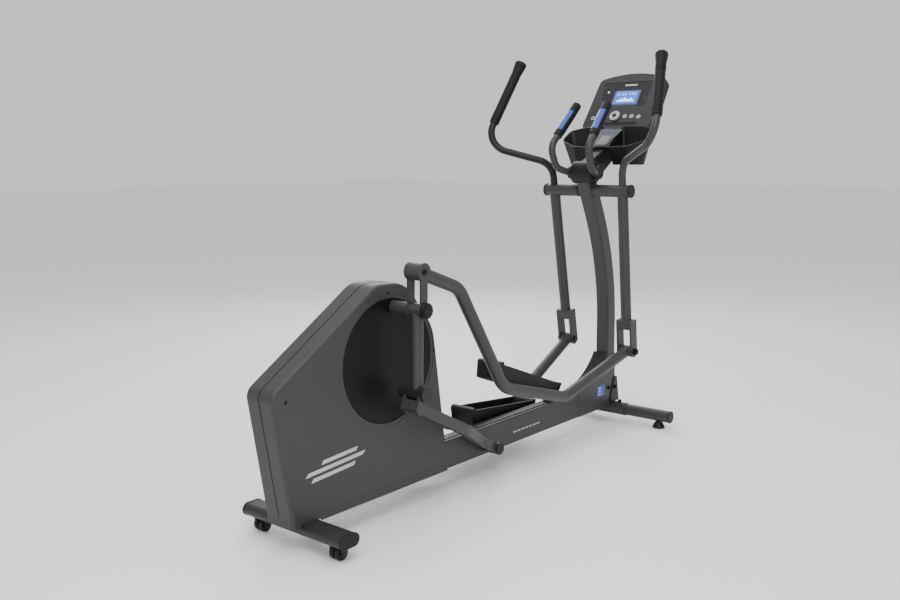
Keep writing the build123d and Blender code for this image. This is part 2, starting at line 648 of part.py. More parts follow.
with BuildPart() as fixed_grips:
    for hand in (RIGHT, LEFT):
        low, high = at(1476, hand * 90, 1203), at(1641, hand * 73, 1369)
        run = high - low
        rod(low + run * 0.25, high + run * 0.03, 19)
    fillet(fixed_grips.edges().filter_by(GeomType.CIRCLE), 4)
    for hand in (RIGHT, LEFT):
        low, high = at(1476, hand * 90, 1203), at(1641, hand * 73, 1369)
        rod(low, high, 14.5, mode=Mode.SUBTRACT)
save(fixed_grips.part, "fixed_grips")

with BuildPart() as pulse_contacts:
    for hand in (RIGHT, LEFT):
        low, high = at(1476, hand * 90, 1203), at(1641, hand * 73, 1369)
        run = high - low
        across = Plane(origin=low + run * 0.36, x_dir=(0, 1, 0), z_dir=run)
        for facing in (-1, 1):
            with BuildSketch(across) as patch:
                Circle(20.2)
                Circle(19, mode=Mode.SUBTRACT)
                with Locations((0, facing * 21)):
                    Rectangle(30, 18, mode=Mode.INTERSECT)
            extrude(patch.sketch, amount=run.length * 0.46)
save(pulse_contacts.part, "pulse_contacts")

FACE = Plane(origin=at(1829, 0, 1282), x_dir=(0, -1, 0), z_dir=(-0.8218, 0, 0.5698))
OUTWARD = Axis((0, 0, 0), (-0.8218, 0, 0.5698))  # towards the user
CONSOLE_DEEP = 62.0
BUTTONS = [(-125, 54), (31, 59), (64, 58), (98, 55)]
BUTTON_R, DIAL, DIAL_R = 10.0, (-17, 60), 24.0
SCREEN = (0.0, 162.5)


def face_outline(plane, inset=0.0):
    """Outline of the console's face, moved inwards by inset."""
    with BuildSketch(plane) as outline:
        with BuildLine():
            Polyline((-160, 262), (-168, 0), (168, 0), (160, 262))
            ThreePointArc((160, 262), (0, 291), (-160, 262))
        make_face()
        fillet(outline.vertices(), 22)
        if inset:
            offset(amount=-inset)
    return outline.sketch


def face_disc(spot, radius, low, high, mode=Mode.ADD):
    """Round bar square to the console's face between two heights above it."""
    with BuildSketch(FACE.offset(low)) as face:
        with Locations(spot):
            Circle(radius)
    extrude(face.sketch, amount=high - low, mode=mode)


with BuildPart() as console_back:
    extrude(face_outline(FACE.offset(-5)), amount=-(CONSOLE_DEEP - 5))
    fillet(console_back.faces().sort_by(OUTWARD)[0].edges(), 16)
    extrude(face_outline(FACE.offset(-5), 7), amount=-(CONSOLE_DEEP - 12), mode=Mode.SUBTRACT)
save(console_back.part, "console_back")

with BuildPart() as faceplate:
    extrude(face_outline(FACE), amount=-5)
    fillet(faceplate.faces().sort_by(OUTWARD)[-1].edges(), 2.5)
    with BuildSketch(FACE) as recess:
        with BuildLine():
            FilletPolyline((-133, 243), (107, 245), (105, 107), (-112, 148), radius=12, close=True)
        make_face()
    extrude(recess.sketch, amount=-2, mode=Mode.SUBTRACT)
    with BuildSketch(FACE) as window:
        with Locations(SCREEN):
            RectangleRounded(132, 83, 4)
    extrude(window.sketch, amount=-8, mode=Mode.SUBTRACT)
    with BuildSketch(FACE) as ledge:
        with Locations((16, 20)):
            RectangleRounded(162, 14, 5)
    extrude(ledge.sketch, amount=-2.5, mode=Mode.SUBTRACT)
    for spot in BUTTONS:
        face_disc(spot, BUTTON_R + 0.4, -6, 2, mode=Mode.SUBTRACT)
    face_disc(DIAL, 4 + FIT, -6, 2, mode=Mode.SUBTRACT)
save(faceplate.part, "console_faceplate")

with BuildPart() as display:
    with BuildSketch(FACE.offset(-2.5)):
        with Locations(SCREEN):
            RectangleRounded(131.6, 82.6, 4)
    extrude(amount=-6)
save(display.part, "display")

with BuildPart() as circuit_board:
    with BuildSketch(FACE.offset(-22)):
        with Locations((0, 118)):
            Rectangle(250, 200)
    extrude(amount=-1.6)
    for spot in ((-118, 25), (118, 25), (-118, 212), (118, 212)):
        face_disc(spot, 4, -22, -5)
save(circuit_board.part, "circuit_board")

with BuildPart() as dial:
    face_disc(DIAL, DIAL_R, 0.6, 9)
    fillet(dial.faces().sort_by(OUTWARD)[-1].edges(), 2)
    face_disc(DIAL, 4, -12, 1)
save(dial.part, "selector_dial")

BUTTON_NAMES = ["scan", "up", "enter", "down"]
for word, spot in zip(BUTTON_NAMES, BUTTONS):
    with BuildPart() as button:
        face_disc(spot, BUTTON_R, -9, 2.2)
        fillet(button.faces().sort_by(OUTWARD)[-1].edges(), 0.8)
        face_disc(spot, BUTTON_R + 2, -9, -7.6)
    save(button.part, f"{word}_button")

# ---- accessory tray ----
RIM_SLOPE = 93 / 130
RIM = [(1702, 40), (1708, 130), (1748, 214), (1806, 206), (1828, 140), (1830, 40)]
BOTTOM = [(1724, 54), (1727, 122), (1750, 172), (1796, 172), (1812, 122), (1812, 54)]
TRAY_FLOOR = 1126.0


def rim_height(station):
    """Height of the tray's rim, which slopes up towards the console."""
    return 1197 + (station - 1700) * RIM_SLOPE


def drawn_in(corners, amount):
    """Corners moved towards their middle by about this much."""
    mx = sum(x for x, _ in corners) / len(corners)
    my = sum(y for _, y in corners) / len(corners)
    moved = []
    for x, y in corners:
        reach = hypot(x - mx, y - my)
        moved.append((mx + (x - mx) * (1 - amount / reach), my + (y - my) * (1 - amount / reach)))
    return moved


def bowl(hand, inset, floor, mode=Mode.ADD):
    """Tapered bowl between the sloping rim and a level floor."""
    rim, base = drawn_in(RIM, inset), drawn_in(BOTTOM, inset)
    wires = []
    for corners, sloping in ((base, False), (rim, True)):
        points = [at(x, hand * y, rim_height(x) if sloping else floor) for x, y in corners]
        with BuildLine() as edge:
            FilletPolyline(*points, radius=[10, 24, 28, 26, 20, 10], close=True)
        wires.append(Face(edge.wire()))
    loft(wires, mode=mode)


rim_plane = Plane(origin=at(1765, 0, rim_height(1765)), x_dir=(0, -1, 0), z_dir=(-93, 0, 130))
with BuildPart() as tray:
    for hand in (RIGHT, LEFT):
        bowl(hand, 0, TRAY_FLOOR)
    with BuildSketch(rim_plane):
        with Locations((0, -2)):
            RectangleRounded(150, 145, 10)
    extrude(amount=-6)
    for hand in (RIGHT, LEFT):
        bowl(hand, 4.5, TRAY_FLOOR + 4, mode=Mode.SUBTRACT)
save(tray.part, "accessory_tray")

with BuildPart() as legend:
    with BuildSketch(rim_plane):
        with BuildLine():
            FilletPolyline((-29, -66), (29, -66), (56, 52), (-56, 52), radius=8, close=True)
        make_face()
    extrude(amount=2)
save(legend.part, "tray_plate")
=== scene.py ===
"""Elliptical trainer: finishes, small fittings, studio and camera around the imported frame.

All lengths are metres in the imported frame: +X towards the console, +Y to the user's left,
+Z up, with the floor at z = 0. A station is a distance forward of the rear stabiliser's axis.
"""

from __future__ import annotations

import logging
import math
from dataclasses import dataclass, field
from enum import Enum

import bpy
from mathutils import Matrix, Vector


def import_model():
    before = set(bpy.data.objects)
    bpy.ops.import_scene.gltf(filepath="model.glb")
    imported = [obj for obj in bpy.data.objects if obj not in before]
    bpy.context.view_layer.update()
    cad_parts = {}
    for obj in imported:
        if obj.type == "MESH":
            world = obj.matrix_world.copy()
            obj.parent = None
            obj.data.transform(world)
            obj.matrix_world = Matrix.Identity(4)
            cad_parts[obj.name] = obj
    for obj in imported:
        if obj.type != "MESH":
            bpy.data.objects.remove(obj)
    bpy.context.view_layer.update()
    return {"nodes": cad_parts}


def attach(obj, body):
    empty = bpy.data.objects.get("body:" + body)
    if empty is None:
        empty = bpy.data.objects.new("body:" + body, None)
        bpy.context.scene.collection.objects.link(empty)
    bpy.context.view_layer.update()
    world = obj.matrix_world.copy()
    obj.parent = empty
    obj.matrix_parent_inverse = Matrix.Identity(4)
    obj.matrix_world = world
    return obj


LOG = logging.getLogger("trainer")
MID = 0.951
SIDES: dict[str, int] = {"right": -1, "left": 1}
Point2 = tuple[float, float]
Colour = tuple[float, float, float]


def linear(red: int, green: int, blue: int) -> Colour:
    """Returns a linear colour for these 8-bit display values."""
    def one(value: int) -> float:
        part = value / 255
        return part / 12.92 if part <= 0.04045 else ((part + 0.055) / 1.055) ** 2.4
    return one(red), one(green), one(blue)


def station(x: float, y: float, z: float) -> Vector:
    """Returns the model point at this station in millimetres."""
    return Vector((x / 1000 - MID, y / 1000, z / 1000))


# ---------------------------------------------------------------- finishes


class Relief(Enum):
    """Fine surface texture of a finish."""

    POWDER = "powder coat"
    MOULDED = "moulded grain"
    BRUSHED = "brushed"
    SMOOTH = "smooth"
    FOAM = "closed foam"


@dataclass(frozen=True)
class ReliefScale:
    """Noise scale per metre, stretch along x, and bump height in metres."""

    scale: float
    stretch: tuple[float, float, float]
    height: float
    detail: float


RELIEFS: dict[Relief, ReliefScale] = {
    Relief.POWDER: ReliefScale(900.0, (1, 1, 1), 0.00006, 2.0),
    Relief.MOULDED: ReliefScale(520.0, (1, 1, 1), 0.00010, 3.0),
    Relief.BRUSHED: ReliefScale(1500.0, (1, 0.03, 1), 0.00002, 2.0),
    Relief.SMOOTH: ReliefScale(60.0, (1, 1, 1), 0.00001, 1.0),
    Relief.FOAM: ReliefScale(380.0, (1, 1, 1), 0.00016, 4.0),
}


class EffectGroups:
    """Shader node groups that more than one finish uses."""

    def __init__(self) -> None:
        """Builds each group once."""
        self.surface = self._surface()
        self.wear = self._wear()
        self.dust = self._dust()

    @staticmethod
    def _new(name: str, inputs: list[tuple[str, str, object]], outputs: list[tuple[str, str]]):
        """Makes an empty group.

        Args:
            name: Group name.
            inputs: Name, socket type and default of each input.
            outputs: Name and socket type of each output.

        Returns:
            The tree, its input node and its output node.
        """
        tree = bpy.data.node_groups.new(name, "ShaderNodeTree")
        for label, kind, value in inputs:
            socket = tree.interface.new_socket(label, in_out="INPUT", socket_type=kind)
            if value is not None:
                socket.default_value = value
        for label, kind in outputs:
            tree.interface.new_socket(label, in_out="OUTPUT", socket_type=kind)
        return tree, tree.nodes.new("NodeGroupInput"), tree.nodes.new("NodeGroupOutput")

    def _surface(self) -> bpy.types.ShaderNodeTree:
        """Returns a group for fine relief, roughness variation and slow colour variation."""
        tree, entry, leave = self._new(
            "fine surface",
            [("Scale", "NodeSocketFloat", 500.0), ("Stretch", "NodeSocketVector", (1, 1, 1)),
             ("Detail", "NodeSocketFloat", 2.0), ("Roughness", "NodeSocketFloat", 0.5)],
            [("Height", "NodeSocketFloat"), ("Roughness", "NodeSocketFloat"), ("Tone", "NodeSocketFloat")],
        )
        new, link = tree.nodes.new, tree.links.new
        where = new("ShaderNodeTexCoord")
        mapping = new("ShaderNodeMapping")
        fine = new("ShaderNodeTexNoise")
        slow = new("ShaderNodeTexNoise")
        slow.inputs["Scale"].default_value = 9.0
        slow.inputs["Detail"].default_value = 4.0
        link(where.outputs["Object"], mapping.inputs["Vector"])
        link(entry.outputs["Stretch"], mapping.inputs["Scale"])
        link(mapping.outputs["Vector"], fine.inputs["Vector"])
        link(entry.outputs["Scale"], fine.inputs["Scale"])
        link(entry.outputs["Detail"], fine.inputs["Detail"])
        link(where.outputs["Object"], slow.inputs["Vector"])
        link(fine.outputs["Fac"], leave.inputs["Height"])
        spread = new("ShaderNodeMapRange")
        spread.inputs["To Min"].default_value = -0.07
        spread.inputs["To Max"].default_value = 0.07
        link(slow.outputs["Fac"], spread.inputs["Value"])
        total = new("ShaderNodeMath")
        total.operation = "ADD"
        total.use_clamp = True
        link(entry.outputs["Roughness"], total.inputs[0])
        link(spread.outputs["Result"], total.inputs[1])
        link(total.outputs["Value"], leave.inputs["Roughness"])
        tone = new("ShaderNodeMapRange")
        tone.inputs["To Min"].default_value = 0.90
        tone.inputs["To Max"].default_value = 1.10
        link(slow.outputs["Fac"], tone.inputs["Value"])
        link(tone.outputs["Result"], leave.inputs["Tone"])
        return tree

    def _wear(self) -> bpy.types.ShaderNodeTree:
        """Returns a group whose mask follows outer edges, broken up by noise."""
        tree, entry, leave = self._new(
            "edge wear",
            [("Width", "NodeSocketFloat", 0.0015), ("Amount", "NodeSocketFloat", 0.5)],
            [("Mask", "NodeSocketFloat")],
        )
        new, link = tree.nodes.new, tree.links.new
        rounded = new("ShaderNodeBevel")
        rounded.samples = 4
        link(entry.outputs["Width"], rounded.inputs["Radius"])
        shape = new("ShaderNodeNewGeometry")
        turn = new("ShaderNodeVectorMath")
        turn.operation = "DOT_PRODUCT"
        link(rounded.outputs["Normal"], turn.inputs[0])
        link(shape.outputs["Normal"], turn.inputs[1])
        edge = new("ShaderNodeMapRange")
        edge.inputs["From Min"].default_value = 0.995
        edge.inputs["From Max"].default_value = 0.90
        link(turn.outputs["Value"], edge.inputs["Value"])
        where = new("ShaderNodeTexCoord")
        broken = new("ShaderNodeTexNoise")
        broken.inputs["Scale"].default_value = 45.0
        broken.inputs["Detail"].default_value = 6.0
        link(where.outputs["Object"], broken.inputs["Vector"])
        patch = new("ShaderNodeMapRange")
        patch.inputs["From Min"].default_value = 0.42
        patch.inputs["From Max"].default_value = 0.68
        link(broken.outputs["Fac"], patch.inputs["Value"])
        both = new("ShaderNodeMath")
        both.operation = "MULTIPLY"
        link(edge.outputs["Result"], both.inputs[0])
        link(patch.outputs["Result"], both.inputs[1])
        scaled = new("ShaderNodeMath")
        scaled.operation = "MULTIPLY"
        scaled.use_clamp = True
        link(both.outputs["Value"], scaled.inputs[0])
        link(entry.outputs["Amount"], scaled.inputs[1])
        link(scaled.outputs["Value"], leave.inputs["Mask"])
        return tree

    def _dust(self) -> bpy.types.ShaderNodeTree:
        """Returns a group whose mask lies on faces that look up."""
        tree, entry, leave = self._new(
            "settled dust", [("Amount", "NodeSocketFloat", 0.1)], [("Mask", "NodeSocketFloat")]
        )
        new, link = tree.nodes.new, tree.links.new
        shape = new("ShaderNodeNewGeometry")
        parts = new("ShaderNodeSeparateXYZ")
        link(shape.outputs["Normal"], parts.inputs["Vector"])
        up = new("ShaderNodeMapRange")
        up.inputs["From Min"].default_value = 0.6
        up.inputs["From Max"].default_value = 1.0
        link(parts.outputs["Z"], up.inputs["Value"])
        where = new("ShaderNodeTexCoord")
        cloud = new("ShaderNodeTexNoise")
        cloud.inputs["Scale"].default_value = 14.0
        cloud.inputs["Detail"].default_value = 5.0
        link(where.outputs["Object"], cloud.inputs["Vector"])
        both = new("ShaderNodeMath")
        both.operation = "MULTIPLY"
        link(up.outputs["Result"], both.inputs[0])
        link(cloud.outputs["Fac"], both.inputs[1])
        scaled = new("ShaderNodeMath")
        scaled.operation = "MULTIPLY"
        scaled.use_clamp = True
        link(both.outputs["Value"], scaled.inputs[0])
        link(entry.outputs["Amount"], scaled.inputs[1])
        link(scaled.outputs["Value"], leave.inputs["Mask"])
        return tree


@dataclass(frozen=True)
class Finish:
    """One paint, plastic, rubber or metal, and how it ages."""

    name: str
    colour: Colour
    roughness: float
    relief: Relief = Relief.MOULDED
    metallic: float = 0.0
    worn: Colour = (0.13, 0.13, 0.135)
    wear: float = 0.0
    dust: float = 0.04
    coat: float = 0.0
    specular: float = 0.35
    dark_zones: tuple[tuple[float, float, float], ...] = ()
    dark: Colour = (0.012, 0.012, 0.013)

    def material(self, groups: EffectGroups) -> bpy.types.Material:
        """Builds the finish's material.

        Args:
            groups: The shared effect groups.

        Returns:
            The new material.
        """
        mat = bpy.data.materials.new(self.name)
        mat.use_nodes = True
        tree = mat.node_tree
        new, link = tree.nodes.new, tree.links.new
        shader = tree.nodes["Principled BSDF"]
        shader.inputs["Metallic"].default_value = self.metallic
        shader.inputs["Coat Weight"].default_value = self.coat
        shader.inputs["Specular IOR Level"].default_value = self.specular
        relief = RELIEFS[self.relief]
        surface = new("ShaderNodeGroup")
        surface.node_tree = groups.surface
        surface.inputs["Scale"].default_value = relief.scale
        surface.inputs["Stretch"].default_value = relief.stretch
        surface.inputs["Detail"].default_value = relief.detail
        surface.inputs["Roughness"].default_value = self.roughness
        base = self._base_colour(tree)
        toned = new("ShaderNodeVectorMath")
        toned.operation = "SCALE"
        link(base, toned.inputs[0])
        link(surface.outputs["Tone"], toned.inputs["Scale"])
        wear = new("ShaderNodeGroup")
        wear.node_tree = groups.wear
        wear.inputs["Amount"].default_value = self.wear
        worn = self._blend(tree, wear.outputs["Mask"], toned.outputs["Vector"], self.worn)
        dust = new("ShaderNodeGroup")
        dust.node_tree = groups.dust
        dust.inputs["Amount"].default_value = self.dust
        dusted = self._blend(tree, dust.outputs["Mask"], worn, (0.45, 0.44, 0.42))
        link(dusted, shader.inputs["Base Color"])
        link(surface.outputs["Roughness"], shader.inputs["Roughness"])
        bump = new("ShaderNodeBump")
        bump.inputs["Distance"].default_value = relief.height
        bump.inputs["Strength"].default_value = 0.8
        link(surface.outputs["Height"], bump.inputs["Height"])
        link(bump.outputs["Normal"], shader.inputs["Normal"])
        return mat

    @staticmethod
    def _blend(tree: bpy.types.NodeTree, mask, first, second: Colour):
        """Returns a socket that fades from a linked colour to a plain one by a mask."""
        mix = tree.nodes.new("ShaderNodeMix")
        mix.data_type = "RGBA"
        tree.links.new(mask, mix.inputs["Factor"])
        tree.links.new(first, mix.inputs[6])
        mix.inputs[7].default_value = (*second, 1)
        return mix.outputs[2]

    def _base_colour(self, tree: bpy.types.NodeTree):
        """Returns the colour socket, darkened round the axes in dark_zones."""
        new, link = tree.nodes.new, tree.links.new
        plain = new("ShaderNodeRGB")
        plain.outputs[0].default_value = (*self.colour, 1)
        colour = plain.outputs[0]
        for x, z, reach in self.dark_zones:
            where = new("ShaderNodeTexCoord")
            flat = new("ShaderNodeVectorMath")
            flat.operation = "MULTIPLY"
            flat.inputs[1].default_value = (1, 0, 1)
            link(where.outputs["Object"], flat.inputs[0])
            gap = new("ShaderNodeVectorMath")
            gap.operation = "DISTANCE"
            gap.inputs[1].default_value = (x, 0, z)
            link(flat.outputs["Vector"], gap.inputs[0])
            inside = new("ShaderNodeMath")
            inside.operation = "LESS_THAN"
            inside.inputs[1].default_value = reach
            link(gap.outputs["Value"], inside.inputs[0])
            colour = self._blend(tree, inside.outputs["Value"], colour, self.dark)
        return colour


@dataclass(frozen=True)
class Glow:
    """A lit finish, for the display and its indicator."""

    name: str
    colour: Colour
    strength: float

    def material(self, groups: EffectGroups) -> bpy.types.Material:
        """Builds the lit material; its brightness varies a little over the surface."""
        mat = bpy.data.materials.new(self.name)
        mat.use_nodes = True
        tree = mat.node_tree
        shader = tree.nodes["Principled BSDF"]
        surface = tree.nodes.new("ShaderNodeGroup")
        surface.node_tree = groups.surface
        surface.inputs["Scale"].default_value = 40.0
        surface.inputs["Roughness"].default_value = 0.25
        tint = tree.nodes.new("ShaderNodeVectorMath")
        tint.operation = "SCALE"
        tint.inputs[0].default_value = self.colour
        tree.links.new(surface.outputs["Tone"], tint.inputs["Scale"])
        tree.links.new(tint.outputs["Vector"], shader.inputs["Base Color"])
        tree.links.new(tint.outputs["Vector"], shader.inputs["Emission Color"])
        tree.links.new(surface.outputs["Roughness"], shader.inputs["Roughness"])
        shader.inputs["Emission Strength"].default_value = self.strength
        return mat


FINISHES: dict[str, Finish | Glow] = {
    "frame": Finish("charcoal powder coat", linear(53, 53, 55), 0.42, Relief.POWDER, 0.1, wear=0.25),
    "rear frame": Finish("charcoal rear crossbar", linear(38, 38, 40), 0.42, Relief.POWDER, 0.1, wear=0.25,
                         dark_zones=((-MID, 0.022, 0.0245),)),
    "shell": Finish("charcoal moulded shell", linear(51, 51, 52), 0.5, Relief.MOULDED, wear=0.2, dust=0.02),
    "skirt": Finish("charcoal skirt", linear(48, 48, 49), 0.5, Relief.MOULDED, wear=0.25, dust=0.06),
    "black": Finish("black moulded plastic", linear(17, 17, 18), 0.46, Relief.MOULDED, wear=0.12, specular=0.25),
    # Black satin paint of the brackets and drive frame, also used as painted shade on the left moving handlebar.
    "black paint and painted shade": Finish("black satin paint and painted shade", linear(19, 19, 20), 0.42, Relief.POWDER, wear=0.2, specular=0.3),
    "disc": Finish("black crank disc", linear(8, 7, 7), 0.46, Relief.SMOOTH, dust=0.0, specular=0.2),
    "bolt": Finish("black oxide steel", linear(26, 26, 28), 0.36, Relief.SMOOTH, 0.6, wear=0.4),
    "steel": Finish("ground steel", (0.52, 0.52, 0.54), 0.3, Relief.BRUSHED, 1.0, specular=0.5),
    "iron": Finish("turned cast iron", (0.22, 0.22, 0.23), 0.42, Relief.BRUSHED, 0.9, specular=0.5),
    "aluminium": Finish("cast aluminium", (0.6, 0.6, 0.62), 0.4, Relief.POWDER, 1.0, specular=0.5),
    "belt": Finish("ribbed belt rubber", linear(20, 20, 20), 0.7, Relief.FOAM, specular=0.2),
    "grip": Finish("grip rubber", linear(17, 17, 18), 0.6, Relief.FOAM, wear=0.05, dust=0.02, specular=0.22),
    "contact": Finish("pulse contact", linear(48, 74, 150), 0.28, Relief.BRUSHED, 0.35, specular=0.5),
    "wheel": Finish("hard wheel rubber", linear(15, 15, 16), 0.45, Relief.SMOOTH, wear=0.1, dust=0.06, specular=0.25),
    "face": Finish("console film", linear(15, 15, 17), 0.3, Relief.SMOOTH, coat=0.1, dust=0.02, specular=0.25),
    # Gloss black of the display recess; its darkness is partly painted shade of the deep recess.
    "gloss": Finish("gloss black and painted shade panel", linear(6, 6, 7), 0.22, Relief.SMOOTH, dust=0.0, specular=0.2),
    "window": Finish("display glass", linear(10, 34, 84), 0.15, Relief.SMOOTH, coat=0.4, dust=0.0),
    "board": Finish("solder mask", linear(18, 80, 46), 0.4, Relief.SMOOTH),
    "legend": Finish("printed film", linear(58, 59, 62), 0.42, Relief.SMOOTH),
    "dial": Finish("dial silver", linear(168, 170, 174), 0.3, Relief.BRUSHED, 0.5, specular=0.5),
    "key": Finish("key silver", linear(150, 152, 156), 0.42, Relief.SMOOTH, 0.3, wear=0.1, specular=0.5),
    "pedal": Finish("pedal plastic", linear(16, 16, 17), 0.52, Relief.MOULDED, wear=0.15, dust=0.08, specular=0.25),
    "tread": Finish("tread rubber", linear(24, 24, 25), 0.7, Relief.FOAM, dust=0.1, specular=0.2),
    "print": Finish("pale print", linear(178, 180, 183), 0.45, Relief.SMOOTH, dust=0.0),
    "dim print": Finish("dim grey print", linear(74, 76, 80), 0.45, Relief.SMOOTH, dust=0.0),
    "print blue": Finish("blue print", linear(38, 78, 165), 0.4, Relief.SMOOTH, dust=0.0),
    "seam": Finish("seam gasket", linear(13, 13, 14), 0.7, Relief.SMOOTH, dust=0.0, specular=0.15),
    "lit blue": Glow("display light", (0.010, 0.10, 0.50), 0.7),
    "lit pale": Glow("display figures", (0.62, 0.86, 1.0), 1.5),
    "lit green": Glow("indicator light", (0.06, 0.70, 0.16), 1.4),
}
NODE_FINISHES: dict[str, str] = {
    "main_rail": "frame", "rail_cover": "black", "rear_stabiliser": "rear frame", "front_stabiliser": "frame",
    "stabiliser_end_caps": "black", "front_base": "frame", "front_brackets": "black paint and painted shade", "mast": "frame",
    "mast_shroud": "black", "right_housing_shell": "shell", "left_housing_shell": "shell",
    "housing_skirt": "skirt", "housing_and_frame_screws": "bolt", "drive_frame": "black paint and painted shade",
    "crank_bearings": "steel", "drive_belt": "belt", "magnetic_brake": "steel", "pivot_end_caps": "black",
    "neck_cover": "black", "fixed_handlebars": "frame", "fixed_grips": "grip", "pulse_contacts": "contact",
    "console_back": "black", "console_faceplate": "face", "display": "window", "circuit_board": "board",
    "accessory_tray": "black", "tray_plate": "legend", "crank_shaft": "steel", "drive_pulley": "aluminium",
    "right_crank_disc": "disc", "left_crank_disc": "disc", "flywheel": "iron", "selector_dial": "dial",
    "scan_button": "key", "up_button": "key", "enter_button": "key", "down_button": "key",
}
SIDE_FINISHES: dict[str, str] = {
    "swing_arm": "frame", "clevis_bolt": "bolt", "moving_handlebar": "frame", "moving_grip": "grip",
    "pedal_lever": "frame", "pedal": "pedal", "coupler_bolts": "black", "transport_wheel": "wheel",
    "levelling_foot": "black",
}


# ---------------------------------------------------------------- bench work


class Bench:
    """Modelling steps that the sub-assemblies share."""

    def __init__(self, materials: dict[str, bpy.types.Material]) -> None:
        """Keeps the materials by finish name."""
        self.materials = materials

    @staticmethod
    def clear() -> None:
        """Leaves edit mode and deselects everything."""
        if bpy.context.object and bpy.context.object.mode != "OBJECT":
            bpy.ops.object.mode_set(mode="OBJECT")
        bpy.ops.object.select_all(action="DESELECT")

    def prism(self, corners: list[Point2], depth: float, edge: float = 0.0) -> bpy.types.Object:
        """Makes a flat plate that rises from its local z = 0.

        Args:
            corners: Outline in the local plane, anticlockwise.
            depth: Thickness.
            edge: Rounding of its edges.

        Returns:
            The new object, not yet placed.
        """
        self.clear()
        bpy.ops.mesh.primitive_circle_add(vertices=len(corners), radius=1, fill_type="NGON")
        obj = bpy.context.object
        for vertex, corner in zip(obj.data.vertices, corners):
            vertex.co = (corner[0], corner[1], 0)
        bpy.ops.object.mode_set(mode="EDIT")
        bpy.ops.mesh.select_all(action="SELECT")
        bpy.ops.mesh.extrude_region_move(TRANSFORM_OT_translate={"value": (0, 0, depth)})
        bpy.ops.mesh.select_all(action="SELECT")
        bpy.ops.mesh.normals_make_consistent(inside=False)
        bpy.ops.object.mode_set(mode="OBJECT")
        if edge:
            self.bevel(obj, edge)
        return obj

    @staticmethod
    def bevel(obj: bpy.types.Object, width: float, segments: int = 2) -> None:
        """Rounds the object's sharp edges."""
        step = obj.modifiers.new("rounding", "BEVEL")
        step.width = width
        step.segments = segments
        step.limit_method = "ANGLE"
        step.angle_limit = math.radians(35)
        bpy.context.view_layer.objects.active = obj
        bpy.ops.object.modifier_apply(modifier=step.name)

    def ring(self, major: float, minor: float, around: int = 64, ripple: float = 0.0) -> bpy.types.Object:
        """Makes a ring round the local z axis, such as a weld bead or a gasket.

        Args:
            major: Radius of its middle line.
            minor: Radius of its section.
            around: Segments round the axis.
            ripple: Depth of the bead's ripples.

        Returns:
            The new object, not yet placed.
        """
        self.clear()
        bpy.ops.mesh.primitive_torus_add(
            major_radius=major, minor_radius=minor, major_segments=around, minor_segments=10
        )
        obj = bpy.context.object
        for vertex in obj.data.vertices:
            angle = math.atan2(vertex.co.y, vertex.co.x)
            middle = Vector((math.cos(angle), math.sin(angle), 0)) * major
            vertex.co = middle + (vertex.co - middle) * (1 + ripple * math.sin(angle * around / 2.5))
        return obj

    def turned_button(self, radius: float, height: float, socket: float, sides: int = 32) -> bpy.types.Object:
        """Makes a domed bolt head with a round socket.

        Args:
            radius: Head radius.
            height: Head height.
            socket: Socket radius.
            sides: Segments round the head.

        Returns:
            The new object, not yet placed.
        """
        self.clear()
        bpy.ops.mesh.primitive_cylinder_add(vertices=sides, radius=radius, depth=height, location=(0, 0, height / 2))
        obj = bpy.context.object
        bpy.ops.object.transform_apply(location=True, rotation=False, scale=False)
        self.select_faces(obj, lambda face: face.normal.z > 0.9)
        bpy.ops.mesh.inset(thickness=radius * 0.18, depth=radius * 0.12)
        bpy.ops.mesh.inset(thickness=radius * 0.82 - socket, depth=0)
        bpy.ops.mesh.inset(thickness=socket * 0.12, depth=-height * 0.55)
        bpy.ops.object.mode_set(mode="OBJECT")
        return obj

    def select_faces(self, obj: bpy.types.Object, wanted) -> None:
        """Enters edit mode with only the wanted faces selected."""
        self.clear()
        obj.select_set(True)
        bpy.context.view_layer.objects.active = obj
        bpy.ops.object.mode_set(mode="EDIT")
        bpy.ops.mesh.select_mode(type="FACE")
        bpy.ops.mesh.select_all(action="DESELECT")
        bpy.ops.object.mode_set(mode="OBJECT")
        for face in obj.data.polygons:
            face.select = wanted(face)
        bpy.ops.object.mode_set(mode="EDIT")

    def copies(self, obj: bpy.types.Object, places: list[Matrix]) -> bpy.types.Object:
        """Joins one copy of the object at each place and removes the first.

        Args:
            obj: The modelled object.
            places: Where each copy goes.

        Returns:
            One object that holds all copies.
        """
        self.clear()
        made = []
        for place in places:
            twin = bpy.data.objects.new(obj.name, obj.data.copy())
            bpy.context.scene.collection.objects.link(twin)
            twin.data.transform(place)
            made.append(twin)
        bpy.data.objects.remove(obj)
        for twin in made:
            twin.select_set(True)
        bpy.context.view_layer.objects.active = made[0]
        if len(made) > 1:
            bpy.ops.object.join()
        return made[0]

    def place(
        self, obj: bpy.types.Object, name: str, finish: str, body: str, slot: str,
        where: Matrix | None = None, smooth: float = 40.0,
    ) -> bpy.types.Object:
        """Names, places, dresses and mounts a finished piece.

        Args:
            obj: The modelled object.
            name: Piece name.
            finish: Key of FINISHES.
            body: CAD body that it rides on.
            slot: Material slot of the record; not used.
            where: Place of the piece, if it isn't in place already.
            smooth: Angle in degrees below which edges are shaded smooth.

        Returns:
            The same object.
        """
        self.clear()
        obj.name = name
        obj.data.name = name
        obj.data.transform(obj.matrix_world)
        obj.matrix_world = Matrix.Identity(4)
        if where is not None:
            obj.data.transform(where)
        obj.data.materials.clear()
        obj.data.materials.append(self.materials[finish])
        obj.select_set(True)
        bpy.context.view_layer.objects.active = obj
        bpy.ops.object.shade_smooth_by_angle(angle=math.radians(smooth))
        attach(obj, body)
        LOG.info("%s rides on %s in %s", name, body, finish)
        return obj


def axes(origin: Vector, x_axis: Vector, normal: Vector) -> Matrix:
    """Returns the place whose local x and z point along these directions."""
    z = normal.normalized()
    x = (x_axis - z * x_axis.dot(z)).normalized()
    y = z.cross(x)
    return Matrix.Translation(origin) @ Matrix((x, y, z)).transposed().to_4x4()


